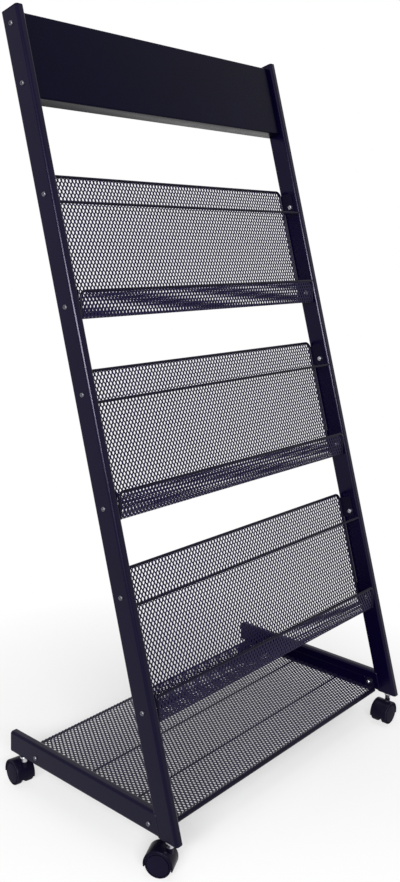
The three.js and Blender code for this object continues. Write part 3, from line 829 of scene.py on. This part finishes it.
def build_shelf_bars():
    half = INNER_FACE - SEAT
    bar = Skin()
    bar.tube([level(x, SHELF_FRONT, 0) for x in (-half, half)], FRONT_BAR_RADIUS, FRONT_BAR_SIDES)
    for _, side in SIDES:
        tab = side_plate(tab_outline(), side, level)
        bar.add(tab.points, tab.faces)
    bar.piece("shelf_front_rail", "frame", "wire_black", ["shelf_front_bar"])
    rods = [
        (f"shelf_rod_{number}", f"shelf_cross_rod_{number}", SHELF_FRONT + reach, SHELF_ROD_RADIUS)
        for number, reach in enumerate(SHELF_RODS, 1)
    ]
    rods.append(("shelf_rear_rod", "shelf_rear_rail", SHELF_REAR, REAR_ROD_RADIUS))
    half = PLATE_FACE - SEAT
    for node, name, y, radius in rods:
        rod = Skin()
        rod.tube([level(x, y, SHELF_LEVEL - SEAT - radius) for x in (-half, half)], radius)
        rod.piece(name, "frame", "wire_black", [node])


def build_shelf_strip(name, side):
    front = TAB_BOLT + TAB_RADIUS + SEAT
    rear = SHELF_REAR + REAR_ROD_RADIUS
    outline = rounded_corners([
        (front, STRIP_BOTTOM), (rear, STRIP_BOTTOM), (rear, STRIP_TOP), (front, STRIP_TOP),
    ], STRIP_CORNER)
    strip = side_plate(outline, side, level)
    strip.piece(f"shelf_side_{name}", "frame", "powder_black", [f"shelf_strip_{name}"])


# Bolts

HEADER_BOLTS = ((18.5, -16.3), (18.5, -107.1))  # from the upright's front, and from the header's top
TIER_BOLTS = ((17.2, -37), (18, -206))  # from the upright's front, and from a tier's top
BOLT_SIDES = 24
BOLT_HEAD = (  # radius, and height over the tube's outer face
    (0, 0.9), (1.9, 1.0), (1.9, 2.3), (2.3, 2.45), (3.0, 2.2), (3.55, 1.5), (3.85, 0.5), (3.85, -0.2),
    (0, -0.2),
)
BOLT_SOCKET = (1, 2)  # rows of the head that are hexagons
NUT = (  # with the bolt's end, over the face that the nut lies on
    (0, 4.2), (2.0, 4.2), (2.3, 3.9), (2.3, 3.1), (3.9, 3.0), (4.3, 2.6), (4.3, 0.1), (0, 0.1),
)
NUT_FLATS = (5, 6)  # rows of the nut that are hexagons


def bolt_places():
    """Middle of each bolt on the level, with the place of the face that its nut lies on."""
    places = [(q, HEADER_TOP + drop, INNER_FACE - SEAT - SHEET) for q, drop in HEADER_BOLTS]
    for top in TIER_TOPS:
        places += [(q, top + drop, PLATE_FACE) for q, drop in TIER_BOLTS]
    out = [(q * COS + s * SIN, s * COS - q * SIN, face) for q, s, face in places]
    return out + [(y, BOLT_LEVEL, PLATE_FACE) for y in (TAB_BOLT, STRIP_BOLT)]


def hexagon(angle):
    """Radius of a hexagon whose corners lie on the unit circle."""
    return math.cos(math.pi / 6) / math.cos(angle % (math.pi / 3) - math.pi / 6)


def build_bolts(name, side):
    heads, nuts = Skin(), Skin()
    for y, z, face in bolt_places():
        heads.lathe(
            BOLT_HEAD, lambda a, b, h: level(side * (OUTER_FACE + h), y + side * a, z + b), BOLT_SIDES,
            lambda index, angle: hexagon(angle) if index in BOLT_SOCKET else 1,
        )
        nuts.lathe(
            NUT, lambda a, b, h: level(side * (face - h), y - side * a, z + b), BOLT_SIDES,
            lambda index, angle: hexagon(angle) if index in NUT_FLATS else 1,
        )
    heads.piece(f"bolts_{name}", "frame", "zinc_steel", material="bolt_steel")
    nuts.piece(f"nuts_{name}", "frame", "zinc_steel")


# Casters. EDGES are the radii of the inner points of a profile, in their order.

WHEEL_RADIUS = 20
WHEEL_INNER = 5.2
WHEEL_SIDES = 64
CASTER_TRAIL = 14
CASTER_HALF = 16
RIM_INNER = WHEEL_RADIUS - 1.7
RIM_FACE = CASTER_HALF - 0.4
GROOVE_FLOOR = CASTER_HALF - 3
DISC_RADIUS = WHEEL_RADIUS - 3.5
DISC_EDGE = CASTER_HALF - 0.1
DISC_MIDDLE = CASTER_HALF - 0.5
WHEEL_EDGES = (1.1, 1.2, 0.2, 0, 0, 0.4)
WHEEL_EDGE_STEPS = 5
HOOD_INNER = 20.6
HOOD_OUTER = 22.9
HOOD_EDGES = (0.5, 1.2)
HOOD_SKIRT = math.radians(13)  # how far the hood reaches down past the level of the axle
HOOD_STEPS = 32
WEB_HALF = 4.4
WEB_FOOT = 6.5
WEB_EDGE = 0.6
WEB_STEPS = 20
SOCKET_RADIUS = 4.7
SOCKET_TOP = 43.1
SOCKET_EDGE = 0.5
PIVOT_RADIUS = 3
PIVOT_LENGTH = 12
NECK_RADIUS = 5
COLLAR_RADIUS = 7
COLLAR_HEIGHT = 3
STEM_RADIUS = 4
STEM_INSIDE = 22
STEM_EDGES = (0.4, 0, 0.4, 0.5, 0.6, 0.4, 0, 0.6)
STEM_EDGE_STEPS = 3
STEM_SIDES = 28
RUNNING = 0.4  # gap between pieces that turn on each other
FRONT_STEM = TUBE_DEPTH / 2 / COS
REAR_STEM = FOOT_LENGTH - 27
# Heading of each caster's trail in degrees, from x towards the rear
TRAILS = {"front_left": 115, "front_right": 180, "rear_left": 80, "rear_right": 65}


def stem_profile():
    """Half section of a stem: radius, and height over the floor."""
    seat = FOOT_BASE - SEAT
    collar = seat - COLLAR_HEIGHT
    neck = SOCKET_TOP + RUNNING
    low, high = SOCKET_TOP - PIVOT_LENGTH, FOOT_BASE + STEM_INSIDE
    return rounded_path([
        (0, low), (PIVOT_RADIUS, low), (PIVOT_RADIUS, neck), (NECK_RADIUS, neck),
        (NECK_RADIUS, collar), (COLLAR_RADIUS, collar), (COLLAR_RADIUS, seat), (STEM_RADIUS, seat),
        (STEM_RADIUS, high), (0, high),
    ], STEM_EDGES, STEM_EDGE_STEPS)


def hood_section():
    """Section of the hood's cover, across the wheels and out from the axle."""
    half = rounded_path([
        (0, HOOD_INNER), (CASTER_HALF, HOOD_INNER), (CASTER_HALF, HOOD_OUTER), (0, HOOD_OUTER),
    ], HOOD_EDGES, CORNER_STEPS)
    other = [(-across, out) for across, out in half[-2:0:-1]]
    return [tuple(p) for p in half] + other


def wheel_profile():
    """Half section of a wheel: radius, and distance from the caster's middle."""
    return rounded_path([
        (0, WHEEL_INNER), (WHEEL_RADIUS, WHEEL_INNER), (WHEEL_RADIUS, RIM_FACE), (RIM_INNER, RIM_FACE),
        (RIM_INNER, GROOVE_FLOOR), (DISC_RADIUS, GROOVE_FLOOR), (DISC_RADIUS, DISC_EDGE),
        (0, DISC_MIDDLE),
    ], WHEEL_EDGES, WHEEL_EDGE_STEPS)


def build_caster(name, side, y):
    turn = math.radians(TRAILS[name])
    forward = (math.cos(turn), math.sin(turn))

    def place(along, across, height):
        """Point in the caster's own directions: trail, axle and height over the floor."""
        x = side * TUBE_AXIS + along * forward[0] - across * forward[1]
        return level(x, y + along * forward[1] + across * forward[0], height - FOOT_BASE)

    def round_axle(out, rise, across):
        """Point from the middle of the axle: along the trail, up, and along the axle."""
        return place(CASTER_TRAIL + out, across, WHEEL_RADIUS + rise)

    body = f"caster_{name}"
    stem = Skin()
    stem.lathe(stem_profile(), place, STEM_SIDES)
    stem.piece(f"{body}_pin", "frame", "zinc_steel", [f"{body}_stem"])

    hood = Skin()
    section = hood_section()
    hood.rings([
        [round_axle(out * math.cos(angle), out * math.sin(angle), across) for across, out in section]
        for angle in np.linspace(-HOOD_SKIRT, math.pi + HOOD_SKIRT, HOOD_STEPS + 1)
    ])
    web_radius = (HOOD_INNER + HOOD_OUTER) / 2
    web = [
        (web_radius * math.cos(angle), web_radius * math.sin(angle))
        for angle in np.linspace(0, math.pi, WEB_STEPS + 1)
    ]
    web += [(-WEB_FOOT, -WEB_FOOT), (WEB_FOOT, -WEB_FOOT)]
    hood.bar(web, -WEB_HALF, WEB_HALF, round_axle, WEB_EDGE)
    hood.lathe([
        (0, WHEEL_RADIUS), (SOCKET_RADIUS, WHEEL_RADIUS), (SOCKET_RADIUS, SOCKET_TOP - SOCKET_EDGE),
        (SOCKET_RADIUS - SOCKET_EDGE, SOCKET_TOP), (0, SOCKET_TOP),
    ], place, STEM_SIDES)
    hood.piece(f"{body}_cover", body, "caster_plastic", [f"{body}_hood"])

    for wheel_name, hand in (("left", 1), ("right", -1)):
        wheel = Skin()
        wheel.lathe(
            wheel_profile(), lambda out, rise, across: round_axle(out, rise, hand * across),
            WHEEL_SIDES,
        )
        wheel_body = f"{body}_wheel_{wheel_name}"
        wheel.piece(f"{body}_roller_{wheel_name}", wheel_body, "wheel_plastic", [wheel_body])


# The rack

build_header()
build_shelf_mesh()
build_shelf_bars()
for side_name, side_sign in SIDES:
    build_upright(side_name, side_sign)
    build_foot(side_name, side_sign)
    build_weld(side_name, side_sign)
    build_bolts(side_name, side_sign)
    build_shelf_strip(side_name, side_sign)
    build_caster(f"front_{side_name}", side_sign, FRONT_STEM)
    build_caster(f"rear_{side_name}", side_sign, REAR_STEM)
for tier_number, tier_top in enumerate(TIER_TOPS, 1):
    build_tier_mesh(tier_number, tier_top)
    build_back_frame(tier_number, tier_top)
    build_lip_wire(tier_number, tier_top)
    build_rod(tier_number, tier_top)
    for side_name, side_sign in SIDES:
        build_end_plate(tier_number, tier_top, side_name, side_sign)
for node_name, node_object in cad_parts.items():
    if node_name.endswith("_axle"):
        node_object.data.materials.clear()
        node_object.data.materials.append(MATERIALS["zinc_steel"])


# Floor, light and camera

WHITE = (1, 1, 1, 1)
AMBIENT = 0.3
BACKDROP = 1.0  # strength at which it is white
FLOOR_PAPER = (0.6, 0.6, 0.6, 1)
FLOOR_GLOW = (0.45, 1.0)  # share of the backdrop's white near the rack and far from it
FLOOR_REACH = (0.25, 0.75)  # distances from the rack's middle between which it grows, in metres
FLOOR_RADIUS = 6
FLOOR_SIDES = 96
FLOOR_DROP = 0.0002
# Place, target, width and height in metres, and power in watts
SOFTBOXES = {
    "key": ((-2.47, -1.75, 1.6), (-0.2, 0.1, 0.75), 2.4, 0.5, 230),
    "top": ((0.2, 0.2, 3.2), (0, 0, 0.6), 2.2, 2.2, 40),
}
# Camera, as fitted to the edges of the rack in the photograph
SENSOR = 36
LENS = 39.31
SHIFT = (0.0454, -0.0550)
CLIP = (0.05, 50)
EYE = (-1280.3, -800.5, 876.5)
EYE_RIGHT = (0.66984, -0.74210, 0.02442)
EYE_UP = (0.11002, 0.13172, 0.98516)


def shows_background(shader):
    """1 for the rays that see the background itself: camera, mirror and see-through rays."""
    rays = shader.add("ShaderNodeLightPath").outputs
    either = shader.larger(rays["Is Camera Ray"], rays["Is Glossy Ray"])
    return shader.larger(either, rays["Is Transmission Ray"])


def build_world():
    world = bpy.data.worlds.new("studio")
    bpy.context.scene.world = world
    shader = Shader(world)
    ambient = shader.add("ShaderNodeBackground", {"Color": WHITE, "Strength": AMBIENT})
    backdrop = shader.add("ShaderNodeBackground", {"Color": WHITE, "Strength": BACKDROP})
    mixed = shader.add("ShaderNodeMixShader", {
        0: shows_background(shader), 1: ambient.outputs[0], 2: backdrop.outputs[0],
    })
    shader.finish("ShaderNodeOutputWorld", mixed.outputs[0])


def build_floor():
    mesh = bpy.data.meshes.new("floor")
    work = bmesh.new()
    bmesh.ops.create_circle(work, cap_ends=True, segments=FLOOR_SIDES, radius=FLOOR_RADIUS)
    work.to_mesh(mesh)
    work.free()
    floor = bpy.data.objects.new("floor", mesh)
    floor.location = (0, 0, -FLOOR_DROP)
    bpy.context.scene.collection.objects.link(floor)
    material = bpy.data.materials.new("floor_white")
    mesh.materials.append(material)
    shader = Shader(material)
    place = shader.add("ShaderNodeTexCoord").outputs["Object"]
    distance = shader.add("ShaderNodeVectorMath", {0: place}, operation="LENGTH").outputs["Value"]
    glow_share = shader.remap(distance, FLOOR_REACH, FLOOR_GLOW)
    paper = shader.add("ShaderNodeBsdfDiffuse", {"Color": FLOOR_PAPER})
    glow = shader.add("ShaderNodeEmission", {"Color": WHITE, "Strength": BACKDROP})
    mixed = shader.add("ShaderNodeMixShader", {
        0: shader.multiply(glow_share, shows_background(shader)),
        1: paper.outputs[0], 2: glow.outputs[0],
    })
    shader.finish("ShaderNodeOutputMaterial", mixed.outputs[0])


def add_softbox(name, location, target, width, height, watts):
    light = bpy.data.lights.new(name, "AREA")
    light.shape = "RECTANGLE"
    light.size = width
    light.size_y = height
    light.energy = watts
    lamp = bpy.data.objects.new(name, light)
    lamp.location = location
    heading = Vector(target) - Vector(location)
    lamp.rotation_euler = heading.to_track_quat("-Z", "Y").to_euler()
    bpy.context.scene.collection.objects.link(lamp)


def build_camera():
    data = bpy.data.cameras.new("camera")
    data.sensor_width = SENSOR
    data.lens = LENS
    data.shift_x, data.shift_y = SHIFT
    data.clip_start, data.clip_end = CLIP
    camera = bpy.data.objects.new("camera", data)
    right, up = Vector(EYE_RIGHT), Vector(EYE_UP)
    turn = Matrix((right, up, right.cross(up))).transposed().to_4x4()
    camera.matrix_world = Matrix.Translation(level(*EYE)) @ turn
    bpy.context.scene.collection.objects.link(camera)
    bpy.context.scene.camera = camera


build_world()
build_floor()
for softbox_name, softbox in SOFTBOXES.items():
    add_softbox(softbox_name, *softbox)
build_camera()
bpy.context.scene.view_settings.view_transform = "Standard"

bpy.context.view_layer.update()
